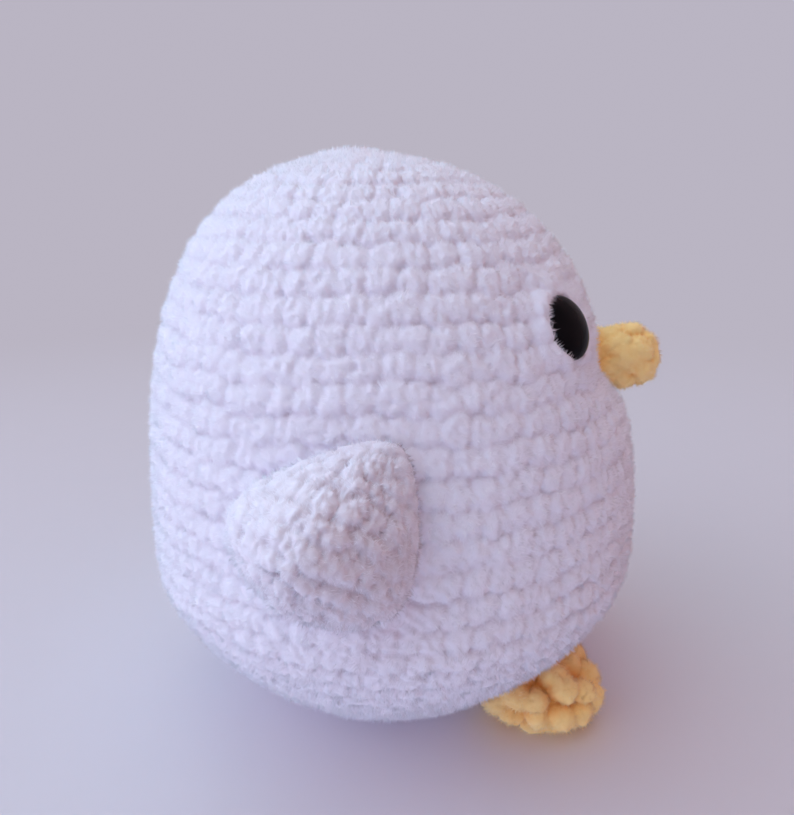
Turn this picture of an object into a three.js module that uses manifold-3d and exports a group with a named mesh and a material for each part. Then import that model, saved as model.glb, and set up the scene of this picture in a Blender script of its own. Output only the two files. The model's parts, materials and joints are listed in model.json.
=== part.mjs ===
// Crochet chick: a stuffed cover worked in rounds, with sewn wings, feet and beak and locked plastic eyes.
// Millimetres and degrees, +Z up. The chick faces -Y and its right side is towards -X.
// The origin is the middle of the flat patch that it stands on.
import * as THREE from "three";
import { mergeVertices } from "three/addons/utils/BufferGeometryUtils.js";
import Module from "manifold-3d";

// Body
const BODY_RADIUS = 60;
const BODY_HEIGHT = 132;
const BELLY_HEIGHT = 39;
const BASE_RADIUS = 28;
const CROWN_LEAN = 5.6;
const BELLY_FORWARD = 2;
const COVER_THICKNESS = 5;

// Wings, sewn on along their top edge
const WING_LENGTH = 35;
const WING_WIDTH = 35;
const WING_THICKNESS = 15;
const WING_ANGLE = 91.5;
const WING_SEAM_HEIGHT = 82;
const WING_SWEEP = 31;
const WING_FLARE = 19;
const WING_SEAM_LENGTH = 11;

// Beak
const BEAK_RADIUS = 9.3;
const BEAK_LENGTH = 13;
const BEAK_HEIGHT = 83.8;
const BEAK_LIFT = 4;

// Feet
const FOOT_WIDTH = 26;
const FOOT_LENGTH = 31;
const FOOT_HEIGHT = 20;
const FOOT_SPREAD = 28;
const FOOT_FORWARD = 35;
const FOOT_TOE_OUT = 12;
const FOOT_FLAT = 0.5;
const FOOT_SEAM_RISE = 1;

// Eyes and the washers that lock them
const EYE_DIAMETER = 14;
const EYE_DOME = 3.6;
const EYE_RIM = 0.8;
const EYE_ANGLE = 43.5;
const EYE_HEIGHT = 98;
const EYE_SINK = 1.8;
const POST_DIAMETER = 4;
const POST_LENGTH = 13;
const POST_RIDGE = 0.35;
const POST_RIDGES = 4;
const WASHER_DIAMETER = 12;
const WASHER_THICKNESS = 1.4;
const CLAMPED_FABRIC = 5.5;
const CLAMP_MARGIN = 1;

// Yarn and clearances
const SEAM_YARN = 1.8;
const SEAM_RING = 5;
const SEAM_OPENING = 14;
const CLOSING_YARN = 2.4;
const CLOSING_TAIL = 46;
const CLOSING_SWAY = 7;
const GAP = 0.3;

// How fully the crown and the base swell, as powers of the rise and of the roundness
const CROWN_SWELL = 2.5;
const CROWN_ROUND = 2.4;
const BASE_SWELL = 1.65;
const LEAN_POWER = 2.4;
const WING_LOW_BULGE = 1.6;
const WING_BLUNTNESS = 0.5;
const BEAK_SWELL = 2.6;
const BEAK_ROUND = 2.2;

// Facets
const BODY_SIDES = 36;
const BODY_LOWER_ROWS = 7;
const BODY_UPPER_ROWS = 11;
const PIECE_SIDES = 20;
const PIECE_ROWS = 10;
const POST_SIDES = 14;
const YARN_SIDES = 5;
const YARN_STEPS = 20;
const TAIL_STEPS = 10;
const NORMAL_STEP = 0.5;

const wasm = await Module();
wasm.setup();

const materials = {
  whiteYarn: new THREE.MeshStandardMaterial({ color: 0xe9e4f0, roughness: 0.95, metalness: 0 }),
  yellowYarn: new THREE.MeshStandardMaterial({ color: 0xe9c078, roughness: 0.95, metalness: 0 }),
  filling: new THREE.MeshStandardMaterial({ color: 0xf4f3ef, roughness: 1, metalness: 0 }),
  eyePlastic: new THREE.MeshStandardMaterial({ color: 0x0b0a0c, roughness: 0.15, metalness: 0 }),
  washerPlastic: new THREE.MeshStandardMaterial({ color: 0xdad8d2, roughness: 0.5, metalness: 0 }),
};

const radians = THREE.MathUtils.degToRad;

// Closed geometry as a solid that can be cut and joined
function solidOf(geometry) {
  const bare = geometry.clone();
  bare.deleteAttribute("normal");
  bare.deleteAttribute("uv");
  const merged = mergeVertices(bare);
  const vertProperties = merged.attributes.position.array;
  const triVerts = new Uint32Array(merged.index.array);
  return new wasm.Manifold(new wasm.Mesh({ numProp: 3, vertProperties, triVerts }));
}

function geometryOf(solid) {
  const { vertProperties, triVerts } = solid.getMesh();
  const geometry = new THREE.BufferGeometry();
  geometry.setAttribute("position", new THREE.BufferAttribute(vertProperties, 3));
  geometry.setIndex(new THREE.BufferAttribute(triVerts, 1));
  geometry.computeVertexNormals();
  return geometry;
}

// The same shape on the other side of the chick, with its faces still pointing out
function mirroredSolid(solid) {
  const { vertProperties, triVerts } = solid.getMesh();
  for (let i = 0; i < vertProperties.length; i += 3) {
    vertProperties[i] *= -1;
  }
  for (let i = 0; i < triVerts.length; i += 3) {
    [triVerts[i], triVerts[i + 1]] = [triVerts[i + 1], triVerts[i]];
  }
  return new wasm.Manifold(new wasm.Mesh({ numProp: 3, vertProperties, triVerts }));
}

function cutOnBothSides(solid, tool) {
  return solid.subtract(tool).subtract(mirroredSolid(tool));
}

// A turned solid whose profile runs up the Z axis
function turned(points, sides) {
  return new THREE.LatheGeometry(points, sides).rotateX(Math.PI / 2);
}

function cylinder(radius, low, high, sides) {
  const corners = [[0, low], [radius, low], [radius, high], [0, high]];
  return turned(corners.map(([r, z]) => new THREE.Vector2(r, z)), sides);
}

// Half width of the body at a height, drawn in by an inset on every side
function bodyHalfWidth(height, inset) {
  const widest = BODY_RADIUS - inset;
  if (height >= BELLY_HEIGHT) {
    const rise = (height - BELLY_HEIGHT) / (BODY_HEIGHT - inset - BELLY_HEIGHT);
    return widest * Math.max(0, 1 - rise ** CROWN_SWELL) ** (1 / CROWN_ROUND);
  }
  const base = BASE_RADIUS - inset;
  const drop = (BELLY_HEIGHT - height) / (BELLY_HEIGHT - inset);
  return base + (widest - base) * Math.max(0, 1 - drop ** BASE_SWELL);
}

// How far the middle of the body sits behind the base at a height
function leanAt(height) {
  const rise = THREE.MathUtils.clamp(height / BODY_HEIGHT, 0, 1);
  return CROWN_LEAN * rise ** LEAN_POWER - BELLY_FORWARD * Math.sin(Math.PI * rise);
}

function bodySolid(inset) {
  const foot = BELLY_HEIGHT - inset;
  const head = BODY_HEIGHT - inset - BELLY_HEIGHT;
  const points = [new THREE.Vector2(0, inset)];
  for (let i = 0; i <= BODY_LOWER_ROWS; i++) {
    const height = BELLY_HEIGHT - foot * Math.cos((i / BODY_LOWER_ROWS) * (Math.PI / 2));
    points.push(new THREE.Vector2(bodyHalfWidth(height, inset), height));
  }
  for (let i = 1; i < BODY_UPPER_ROWS; i++) {
    const height = BELLY_HEIGHT + head * Math.sin((i / BODY_UPPER_ROWS) * (Math.PI / 2));
    points.push(new THREE.Vector2(bodyHalfWidth(height, inset), height));
  }
  points.push(new THREE.Vector2(0, BODY_HEIGHT - inset));
  const geometry = turned(points, BODY_SIDES);
  const position = geometry.attributes.position;
  for (let i = 0; i < position.count; i++) {
    position.setY(i, position.getY(i) + leanAt(position.getZ(i)));
  }
  return solidOf(geometry);
}

// A point on the cover, at an angle from facing towards the right side
function coverPoint(angle, height) {
  const halfWidth = bodyHalfWidth(height, 0);
  const x = -halfWidth * Math.sin(radians(angle));
  const y = leanAt(height) - halfWidth * Math.cos(radians(angle));
  return new THREE.Vector3(x, y, height);
}

function coverNormal(angle, height) {
  const up = coverPoint(angle, height + NORMAL_STEP).sub(coverPoint(angle, height - NORMAL_STEP));
  const round = coverPoint(angle + NORMAL_STEP, height).sub(coverPoint(angle - NORMAL_STEP, height));
  return round.cross(up).negate().normalize();
}

// Places a shape on the cover with its Z axis pointing straight out
function seatOnCover(angle, height) {
  const out = coverNormal(angle, height);
  const across = new THREE.Vector3(0, 0, 1).cross(out).normalize();
  const basis = new THREE.Matrix4().makeBasis(across, out.clone().cross(across), out);
  return basis.setPosition(coverPoint(angle, height));
}

// A round of sewing yarn that lies on the cover, left open where its ends meet
function seamRing(angle, height, yarnRadius) {
  const lift = SEAM_YARN / 2 + GAP;
  const points = [];
  for (let i = 0; i <= YARN_STEPS; i++) {
    const turn = radians(SEAM_OPENING / 2 + ((360 - SEAM_OPENING) * i) / YARN_STEPS);
    const z = height + SEAM_RING * Math.sin(turn);
    const sweep = THREE.MathUtils.radToDeg((SEAM_RING * Math.cos(turn)) / bodyHalfWidth(height, 0));
    points.push(coverPoint(angle + sweep, z).addScaledVector(coverNormal(angle + sweep, z), lift));
  }
  return yarnAlong(new THREE.CatmullRomCurve3(points), yarnRadius, YARN_STEPS);
}

function yarnAlong(curve, radius, steps) {
  const section = new THREE.Shape();
  for (let i = 0; i < YARN_SIDES; i++) {
    const turn = (i / YARN_SIDES) * 2 * Math.PI;
    section[i ? "lineTo" : "moveTo"](radius * Math.cos(turn), radius * Math.sin(turn));
  }
  section.closePath();
  return new THREE.ExtrudeGeometry(section, { steps, extrudePath: curve });
}

// Eye: a domed head on a ribbed post
const postRadius = POST_DIAMETER / 2;
const ridgeRadius = postRadius + POST_RIDGE;

function eyeGeometry() {
  const radius = EYE_DIAMETER / 2;
  const points = [new THREE.Vector2(0, -POST_LENGTH)];
  const ridgePitch = (POST_LENGTH - CLAMPED_FABRIC) / POST_RIDGES;
  for (let i = 0; i < POST_RIDGES; i++) {
    const low = -POST_LENGTH + i * ridgePitch;
    points.push(new THREE.Vector2(postRadius, low));
    points.push(new THREE.Vector2(ridgeRadius, low + ridgePitch / 2));
  }
  points.push(new THREE.Vector2(postRadius, -CLAMPED_FABRIC), new THREE.Vector2(postRadius, 0));
  points.push(new THREE.Vector2(radius, 0));
  const domeRows = PIECE_ROWS / 2;
  for (let i = 0; i < domeRows; i++) {
    const turn = (i / domeRows) * (Math.PI / 2);
    points.push(new THREE.Vector2(radius * Math.cos(turn), EYE_RIM + EYE_DOME * Math.sin(turn)));
  }
  points.push(new THREE.Vector2(0, EYE_RIM + EYE_DOME));
  return turned(points, PIECE_SIDES);
}

const eyeSeat = seatOnCover(EYE_ANGLE, EYE_HEIGHT);
const eyeBack = new THREE.Matrix4().makeTranslation(0, 0, -EYE_SINK);
const eyePlace = eyeSeat.clone().multiply(eyeBack);
const eye = eyeGeometry().applyMatrix4(eyePlace);

// Washer: a ring pushed up the post until it grips the cover from inside
const washerRadius = WASHER_DIAMETER / 2;
const washerTop = -CLAMPED_FABRIC - GAP;
const washerBottom = washerTop - WASHER_THICKNESS;
const washerHole = ridgeRadius + GAP;
const washerSection = [
  new THREE.Vector2(washerHole, washerBottom),
  new THREE.Vector2(washerRadius, washerBottom),
  new THREE.Vector2(washerRadius, washerTop),
  new THREE.Vector2(washerHole, washerTop),
  new THREE.Vector2(washerHole, washerBottom),
];
const washer = turned(washerSection, PIECE_SIDES).applyMatrix4(eyePlace);

// Cover: the fabric shell, pinched flat between each eye and its washer and pierced by the post
const clampRadius = washerRadius + CLAMP_MARGIN;
const eyePocketRadius = EYE_DIAMETER / 2 + GAP;
const postHoleRadius = ridgeRadius + GAP;

function onEye(radius, low, high) {
  return solidOf(cylinder(radius, low, high, POST_SIDES).applyMatrix4(eyePlace));
}

const clampedFabric = onEye(clampRadius, -CLAMPED_FABRIC, -GAP);
const postHole = onEye(postHoleRadius, -POST_LENGTH, EYE_SINK);
const eyePocket = onEye(eyePocketRadius, -GAP, EYE_SINK + EYE_DOME);
let cover = bodySolid(0).subtract(bodySolid(COVER_THICKNESS));
cover = cover.add(clampedFabric).add(mirroredSolid(clampedFabric));
cover = cutOnBothSides(cover, postHole.add(eyePocket));

// Closing yarn: the tail that draws the last round shut and runs up into the filling
const tailFoot = COVER_THICKNESS + GAP;

function closingTail(radius, low) {
  const bend = new THREE.Vector3(CLOSING_SWAY, 0, tailFoot + CLOSING_TAIL / 2);
  const end = new THREE.Vector3(0, CLOSING_SWAY, tailFoot + CLOSING_TAIL + radius - CLOSING_YARN / 2);
  const curve = new THREE.CatmullRomCurve3([new THREE.Vector3(0, 0, low), bend, end]);
  return yarnAlong(curve, radius, TAIL_STEPS);
}

const closingYarn = closingTail(CLOSING_YARN / 2, tailFoot);
const tailChannel = solidOf(closingTail(CLOSING_YARN / 2 + GAP, tailFoot - GAP));

// Filling: fills the cover and closes round the clamped fabric, the washers, the posts and the tail
const washerRoom = onEye(clampRadius + GAP, washerBottom - GAP, 0);
const postRoom = onEye(postHoleRadius, -POST_LENGTH - GAP, 0);
let filling = bodySolid(COVER_THICKNESS + GAP);
filling = cutOnBothSides(filling, washerRoom.add(postRoom)).subtract(tailChannel);

// Wing: a puffed pod that widens from its seam to a round lower end
function wingGeometry() {
  const points = [];
  for (let i = 0; i <= PIECE_ROWS; i++) {
    const along = (1 - Math.cos((Math.PI * i) / PIECE_ROWS)) / 2;
    const swell = Math.max(0, Math.sin(Math.PI * along ** WING_LOW_BULGE)) ** WING_BLUNTNESS;
    points.push(new THREE.Vector2((WING_WIDTH / 2) * swell, -WING_LENGTH * along));
  }
  points[0].x = 0;
  points[PIECE_ROWS].x = 0;
  return turned(points.reverse(), PIECE_SIDES).scale(WING_THICKNESS / WING_WIDTH, 1, 1);
}

const wingSeamOut = SEAM_YARN / 2 + GAP;
const wingHinge = coverPoint(WING_ANGLE, WING_SEAM_HEIGHT)
  .addScaledVector(coverNormal(WING_ANGLE, WING_SEAM_HEIGHT), wingSeamOut);
const wingTurn = new THREE.Euler(radians(WING_SWEEP), radians(WING_FLARE), 0, "YXZ");
const wingPlace = new THREE.Matrix4().makeRotationFromEuler(wingTurn).setPosition(wingHinge);

function seamBar(radius, length) {
  const bar = cylinder(radius, -length / 2, length / 2, YARN_SIDES * 2);
  return bar.rotateX(Math.PI / 2).translate(wingHinge.x, wingHinge.y, wingHinge.z);
}

const wingSeam = seamBar(SEAM_YARN / 2, WING_SEAM_LENGTH);
const seamRoom = solidOf(seamBar(SEAM_YARN / 2 + GAP, WING_WIDTH));
const clearOfCover = bodySolid(-GAP);
const wing = solidOf(wingGeometry().applyMatrix4(wingPlace)).subtract(clearOfCover).subtract(seamRoom);

// Beak: a blunt knob set against the cover, over its own ring of sewing yarn
const beakSeat = seatOnCover(0, BEAK_HEIGHT);
const beakTilt = coverNormal(0, BEAK_HEIGHT).angleTo(new THREE.Vector3(0, -1, 0)) - radians(BEAK_LIFT);

function beakGeometry() {
  const points = [new THREE.Vector2(0, -COVER_THICKNESS), new THREE.Vector2(BEAK_RADIUS, -COVER_THICKNESS)];
  for (let i = 0; i < PIECE_ROWS; i++) {
    const along = Math.sin((i / PIECE_ROWS) * (Math.PI / 2));
    const swell = (1 - along ** BEAK_SWELL) ** (1 / BEAK_ROUND);
    points.push(new THREE.Vector2(BEAK_RADIUS * swell, BEAK_LENGTH * along));
  }
  points.push(new THREE.Vector2(0, BEAK_LENGTH));
  return turned(points, PIECE_SIDES).rotateX(beakTilt);
}

// A piece set against the cover, with a groove in its back for the yarn that sews it on
function sewnOn(geometry, angle, height) {
  const groove = solidOf(seamRing(angle, height, SEAM_YARN / 2 + GAP));
  return solidOf(geometry).subtract(clearOfCover).subtract(groove);
}

const beak = sewnOn(beakGeometry().applyMatrix4(beakSeat), 0, BEAK_HEIGHT);
const beakSeam = seamRing(0, BEAK_HEIGHT, SEAM_YARN / 2);

// Foot: a flattened ball under the front of the body, flat where it meets the table
function footGeometry() {
  const ball = new THREE.SphereGeometry(1, PIECE_SIDES, PIECE_ROWS).rotateX(Math.PI / 2);
  ball.scale(FOOT_WIDTH / 2, FOOT_LENGTH / 2, FOOT_HEIGHT / 2).rotateZ(radians(-FOOT_TOE_OUT));
  return ball.translate(-FOOT_SPREAD, -FOOT_FORWARD, footMiddle);
}

const table = new THREE.BoxGeometry(4 * BODY_RADIUS, 4 * BODY_RADIUS, FOOT_HEIGHT);
table.translate(0, 0, -FOOT_HEIGHT / 2);
const footAngle = THREE.MathUtils.radToDeg(Math.atan2(FOOT_SPREAD, FOOT_FORWARD));
const footMiddle = FOOT_HEIGHT / 2 - FOOT_FLAT;
const footSeamHeight = FOOT_HEIGHT / 2 + FOOT_SEAM_RISE;
const foot = sewnOn(footGeometry(), footAngle, footSeamHeight).subtract(solidOf(table));
const footSeam = seamRing(footAngle, footSeamHeight, SEAM_YARN / 2);

// Assembly
const chick = new THREE.Group();

function addPiece(name, geometry, material) {
  const mesh = new THREE.Mesh(geometry, material);
  mesh.name = name;
  chick.add(mesh);
  return mesh;
}

function addPair(name, geometry, material) {
  addPiece(`${name}_right`, geometry, material);
  addPiece(`${name}_left`, geometry, material).scale.x = -1;
}

addPiece("body_cover", geometryOf(cover), materials.whiteYarn);
addPiece("body_stuffing", geometryOf(filling), materials.filling);
addPiece("closing_yarn", closingYarn, materials.whiteYarn);
addPair("wing", geometryOf(wing), materials.whiteYarn);
addPair("wing_seam", wingSeam, materials.whiteYarn);
addPiece("beak", geometryOf(beak), materials.yellowYarn);
addPiece("beak_seam", beakSeam, materials.yellowYarn);
addPair("foot", geometryOf(foot), materials.yellowYarn);
addPair("foot_seam", footSeam, materials.yellowYarn);
addPair("eye", eye, materials.eyePlastic);
addPair("eye_washer", washer, materials.washerPlastic);

export default chick;
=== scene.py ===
"""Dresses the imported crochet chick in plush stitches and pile, with glossy eyes and soft studio light.

Metres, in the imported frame: +Z up, the chick faces -Y and its right side is towards -X.
"""
import itertools
import json
import math
from dataclasses import dataclass, replace

import bpy
import numpy as np
from mathutils import Matrix, Vector


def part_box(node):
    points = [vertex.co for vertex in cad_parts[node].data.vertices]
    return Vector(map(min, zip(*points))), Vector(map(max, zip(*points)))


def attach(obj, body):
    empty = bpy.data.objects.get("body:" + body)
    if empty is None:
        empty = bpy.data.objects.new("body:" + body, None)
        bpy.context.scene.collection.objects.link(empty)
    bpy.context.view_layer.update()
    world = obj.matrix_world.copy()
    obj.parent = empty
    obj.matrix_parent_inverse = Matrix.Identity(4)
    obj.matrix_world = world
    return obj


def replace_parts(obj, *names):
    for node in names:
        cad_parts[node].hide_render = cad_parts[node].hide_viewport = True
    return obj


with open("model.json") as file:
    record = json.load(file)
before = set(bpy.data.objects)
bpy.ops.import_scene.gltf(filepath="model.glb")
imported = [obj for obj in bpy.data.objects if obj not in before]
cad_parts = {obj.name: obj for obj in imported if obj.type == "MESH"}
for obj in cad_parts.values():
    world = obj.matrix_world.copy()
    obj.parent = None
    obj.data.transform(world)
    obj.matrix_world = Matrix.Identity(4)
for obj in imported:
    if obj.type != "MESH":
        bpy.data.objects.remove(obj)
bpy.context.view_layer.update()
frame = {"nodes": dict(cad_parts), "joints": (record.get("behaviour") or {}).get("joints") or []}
MM = 0.001
TURN = 2 * math.pi

# Body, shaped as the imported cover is, with a nub on its crown and a pressed-in face
COVER_LOW, COVER_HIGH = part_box("body_cover")
BODY_RADIUS = (COVER_HIGH.x - COVER_LOW.x) / 2
BODY_HEIGHT = COVER_HIGH.z - COVER_LOW.z
BELLY_HEIGHT = 39 * MM
BASE_RADIUS = 28 * MM
CROWN_LEAN = 5.6 * MM
BELLY_FORWARD = 2 * MM
CROWN_SWELL = 2.5
CROWN_ROUND = 2.4
BASE_SWELL = 1.65
LEAN_POWER = 2.4
BASE_EDGE = 5 * MM
CROWN_NUB = 1.6 * MM
NUB_BACK = 3 * MM
NUB_REACH = 9 * MM
FACE_FLAT = 2.2 * MM
FACE_HEIGHT = 92 * MM
FACE_REACH = 14 * MM
FACE_NARROWNESS = 2
BEAK_DIMPLE = 4.5 * MM
DIMPLE_HEIGHT = 85 * MM
DIMPLE_REACH = 6.5 * MM
DIMPLE_NARROWNESS = 6
PROFILE_POINTS = 1200
NORMAL_STEP = 0.5
TABLE_CLEARANCE = 0.02 * MM

# Eyes
EYE_DIAMETER = 14 * MM
EYE_DOME = 3.6 * MM
EYE_RIM = 0.8 * MM
EYE_ANGLE = 43.5
EYE_HEIGHT = 98 * MM
EYE_SINK = 2.6 * MM
EYE_LIP = 0.8 * MM
EYE_LIP_BEHIND = 1.0 * MM
LIP_RADIUS = 8.6 * MM
LIP_WIDTH = 2.2 * MM
EYE_BED = 0.5 * MM
EYE_BED_RADIUS = 6.2 * MM
EYE_BED_EDGE = 1.5 * MM
EYE_BED_RISE = 8 * MM
EYE_REACH = 14 * MM
BARE_RADIUS = 6.6 * MM
FRINGE_WIDTH = 3 * MM
FRINGE_BEND = 1.1
EYE_BACK_ROUND = 0.3 * MM
EYE_BACK_RISE = 0.25 * MM
EYE_DOME_STEPS = 28
EYE_FACETS = 72
POST_RADIUS = 2 * MM
POST_LENGTH = 13 * MM
POST_RIDGE = 0.35 * MM
POST_RIDGES = 4
POST_PLAIN = 5.5 * MM

# Wings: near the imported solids' sizes, but puffed, ridged and with a broad top edge. Angles are in degrees
WING_LENGTH = 33.5 * MM
WING_WIDTH = 35 * MM
WING_THICKNESS = 15 * MM
WING_SWEEP = 31
WING_FLARE = 19
WING_LOW_BULGE = 1.75
WING_BLUNTNESS = 0.42
WING_DROP = 1.2 * MM
WING_EDGE = 5 * MM
WING_CORNER = 0.12
WING_LEVEL = 0.35
WING_LEVEL_FADE = 3
WING_CLEARANCE = 0.2 * MM
WING_TOP_THIN = 0.6
WING_THIN_REACH = 0.45
WING_RIDGE = 1.45
WING_RIDGE_BACK = 0.22
WING_PUFF = 1.85
WING_FRONT = 0.92
WING_LUMPS_ACROSS = (-1, -0.8, -0.55, 0.15, 0.5)
WING_LUMPS = (0.4, 0.6, 1, 1, 0.4)
# Painted shade across the wing: shares of the stitch heights kept for its colour, lowest, so darkest, on the
# front face, which is turned away from the lamps
WING_SHADE_DEPTHS = (0.55, 0.55, 0.6, 0.75, 0.9)

# Beak and feet
BEAK_RADIUS = 9.3 * MM
BEAK_LENGTH = 12.2 * MM
BEAK_HEIGHT = 83.8 * MM
BEAK_LIFT = 4
BEAK_SWELL = 2.4
BEAK_ROUND = 2.1
BEAK_NECK = 0.24
BEAK_ROOT = 8 * MM
SEWN_DEPTH = 1.2 * MM
FOOT_WIDTH = 26 * MM
FOOT_LENGTH = 31 * MM
FOOT_HEIGHT = 20 * MM
FOOT_SPREAD = 28 * MM
FOOT_FORWARD = 35 * MM
FOOT_TOE_OUT = 12
FOOT_FLAT = 0.5 * MM
FOOT_AXIS_TILT = 60
FOOT_SEAM_RISE = 1 * MM

# Filling, and how much of each soft piece it takes up
BODY_FILL = 0.85
WING_FILL = 0.55
FIRM_FILL = 0.8
FILLING_INSET = 7.5 * MM
FILLING_UNEVEN = 1.2 * MM
FILLING_LUMP = 14 * MM
FILLING_ROWS = 61
FILLING_COLUMNS = 96

# Sewing yarn
SEAM_YARN = 1.8 * MM
SEAM_RING = 5 * MM
SEAM_OPENING = 14
CLOSING_YARN = 2.4 * MM
CLOSING_TAIL = 46 * MM
CLOSING_SWAY = 7 * MM
GAP = 0.3 * MM
WING_SEAM_INSET = 3.2 * MM
YARN_FACETS = 16
PLY_TWIST = 5 * MM
PLY_RELIEF = 0.12
PLY_SHADE = 0.48
ODD_WAY = (0.31, 0.17, 0.93)  # runs along no piece of yarn
SEAM_RING_POINTS = 90
SEAM_BAR_POINTS = 60
CLOSING_POINTS = 120

# Pile: the short fibres that stand out of the yarn
PILE_LENGTH = 1.35 * MM
WING_PILE = 1.25 * MM
YELLOW_PILE = 1.15 * MM
PILE_WIDTH = 0.1 * MM
PILE_FLATNESS = 0.4
PILE_PER_MM2 = 6
PILE_SINK = 0.25 * MM
PILE_TUFT = 1.5 * MM
PILE_TUFT_LEAN = 1.1
PILE_STRAY = 0.45
PILE_LENGTHS = (0.5, 1.2)
PILE_LEAST_RISE = 0.1
PILE_TWIST = 0.2
PILE_TABLE_GAP = 0.05 * MM
PILE_CORNERS = (TURN / 4, TURN * 7 / 12, TURN * 11 / 12)
# Painted light on the fibres: tips are coloured lighter or darker than their roots at random, mostly
# lighter, and glinting tips take a painted glint colour
TIP_SHADES = (-0.3, 0.8)
GLINT_SHARE = 0.1
GLINT_PATCH = 4 * MM
GLINT_PATCH_LEVEL = 0.2
FACING_OUT = 0.75
FACING_STRAY = 0.1
FACING_GLINT = 0.3
FIBRES_PER_PIECE = 48000

# Sizes of the clouds of colour in the materials
YARN_PATCH = 9 * MM
YARN_CLUMP = 1.3 * MM
EYE_SMEAR = 3 * MM
WASHER_FLOW = 4 * MM
FLOOR_GRAIN = 1 / 60

# Camera, from the photograph's perspective: 794 by 815 pixels
IMAGE_LONG_SIDE = 815
FOCAL_PIXELS = 735
SENSOR = 36
CAMERA_PLACE = Vector((-179.94, 6.28, 122.8)) * MM
CAMERA_HEADING = math.radians(-92) - 0.0125  # fitted to the body's outline
CAMERA_PITCH = math.radians(16)

# Studio
BACKDROP = (0.49, 0.46, 0.545, 1)
FLOOR = (0.58, 0.53, 0.57, 1)
FLOOR_SPECK = 0.985
FLOOR_REACH = 4.0
FLOOR_FADE = (0.12, 0.6)
AMBIENT = (1.0, 0.82, 0.87, 1)
AMBIENT_STRENGTH = 0.03

# Noise repeats after this many cells
NOISE_TABLE = 32

# Stitches: shares of a stitch's width and a round's height
STITCH_SIDE = 0.62
STITCH_END = 0.55
STITCH_TAPER = 0.06
STITCH_SHIFT = 0.07
STITCH_LIFT = 0.06
STITCH_SPREAD = 0.05
STITCH_UNEVEN = 0.1
SIDE_POWER = 2.3
END_POWER = 2.2
SPLIT_WIDTH = 0.09
SPLIT_TOP = 0.7
STITCH_BLEND = 5

# Lumps: the warp of the rounds, the grain of the yarn, tufts and bobbles
WARP_SIZE = 6 * MM
GRAIN_SIZE = 1.2 * MM
TUFT_MIDDLE = 0.7
TUFT_REACH = 0.85
LEAST_SLIM = 0.2
BOBBLE_SPACING = 0.72
BOBBLE_REACH = (0.52, 0.62)
BOBBLE_SIZE = (0.85, 1.1)
BOBBLE_BLEND = 6

# Seeds
BODY_SEED, BODY_PILE_SEED = 11, 21
BEAK_SEED, BEAK_PILE_SEED = 41, 45
PILE_SEED = 5
FOOT_SEED = 30
FILLING_SEED = 71


@dataclass(frozen=True)
class Crochet:
    """How a piece is crocheted.

    Lengths are in metres. Slant, drift and warp are in stitches, wobble in rounds, and jitter, crumple
    and split are shares. Where the piece is narrower than slim its relief fades.
    """

    round_height: float = 5.7 * MM
    stitch_width: float = 5.3 * MM
    steps: int = 12
    columns: int = 800
    count_by: int = 6
    least: int = 6
    slant: float = -0.22
    drift: float = 0.22
    wobble: float = 0.05
    warp: float = 0.18
    jitter: float = 1.3
    relief: float = 1.0 * MM
    top: float = -0.3 * MM
    tuft: float = 1.9 * MM
    tuft_height: float = 0.8 * MM
    grain: float = 0.25 * MM
    crumple: float = 0.35
    slim: float = 7 * MM
    split: float = 0.06


BODY_CROCHET = Crochet(slim=26 * MM)
WING_CROCHET = replace(
    BODY_CROCHET, slim=7 * MM, round_height=4.4 * MM, stitch_width=4.0 * MM, steps=10, columns=260,
    count_by=1, least=5, warp=0.45, jitter=1.8, relief=1.1 * MM, top=0.1 * MM,
    tuft=2.3 * MM, tuft_height=1.8 * MM, grain=0.35 * MM,
)
BEAK_CROCHET = replace(
    BODY_CROCHET, slim=7 * MM, round_height=6.2 * MM, steps=16, columns=180, relief=1.9 * MM, top=0.4 * MM,
    tuft=1.6 * MM, tuft_height=1.0 * MM, grain=0.3 * MM, crumple=0.25,
)
FOOT_CROCHET = replace(
    BODY_CROCHET, slim=7 * MM, round_height=6 * MM, steps=14, columns=240, relief=5.0 * MM, top=0.7 * MM,
    tuft=1.8 * MM, tuft_height=1.3 * MM, grain=0.3 * MM, crumple=0.2,
)
FOOT_BOBBLES = 7.5 * MM
BEAK_BOBBLES = 6.6 * MM


def half_width(height):
    """Half width of the body at each height."""
    rise = np.clip((height - BELLY_HEIGHT) / (BODY_HEIGHT - BELLY_HEIGHT), 0, 1)
    drop = np.clip((BELLY_HEIGHT - height) / BELLY_HEIGHT, 0, 1)
    crown = BODY_RADIUS * (1 - rise**CROWN_SWELL) ** (1 / CROWN_ROUND)
    base = BASE_RADIUS + (BODY_RADIUS - BASE_RADIUS) * (1 - drop**BASE_SWELL)
    return np.where(height >= BELLY_HEIGHT, crown, base)


def middle(height):
    """How far the body's middle sits behind the base at each height."""
    rise = np.clip(height / BODY_HEIGHT, 0, 1)
    return CROWN_LEAN * rise**LEAN_POWER - BELLY_FORWARD * np.sin(np.pi * rise)


def cover_point(angle, height):
    """A point on the cover, at an angle in degrees from facing towards the right side."""
    turn = math.radians(angle)
    width = float(half_width(np.float64(height)))
    return Vector((-width * math.sin(turn), float(middle(height)) - width * math.cos(turn), height))


def cover_normal(angle, height):
    """The way straight out of the cover, from points a short step up, down and to each side."""
    rise = NORMAL_STEP * MM
    up = cover_point(angle, height + rise) - cover_point(angle, height - rise)
    across = cover_point(angle + NORMAL_STEP, height) - cover_point(angle - NORMAL_STEP, height)
    return up.cross(across).normalized()


def seat_on_cover(angle, height):
    """A frame on the cover whose Z axis points straight out."""
    out = cover_normal(angle, height)
    across = Vector((0, 0, 1)).cross(out).normalized()
    seat = Matrix((across, out.cross(across), out)).transposed().to_4x4()
    seat.translation = cover_point(angle, height)
    return seat


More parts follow.
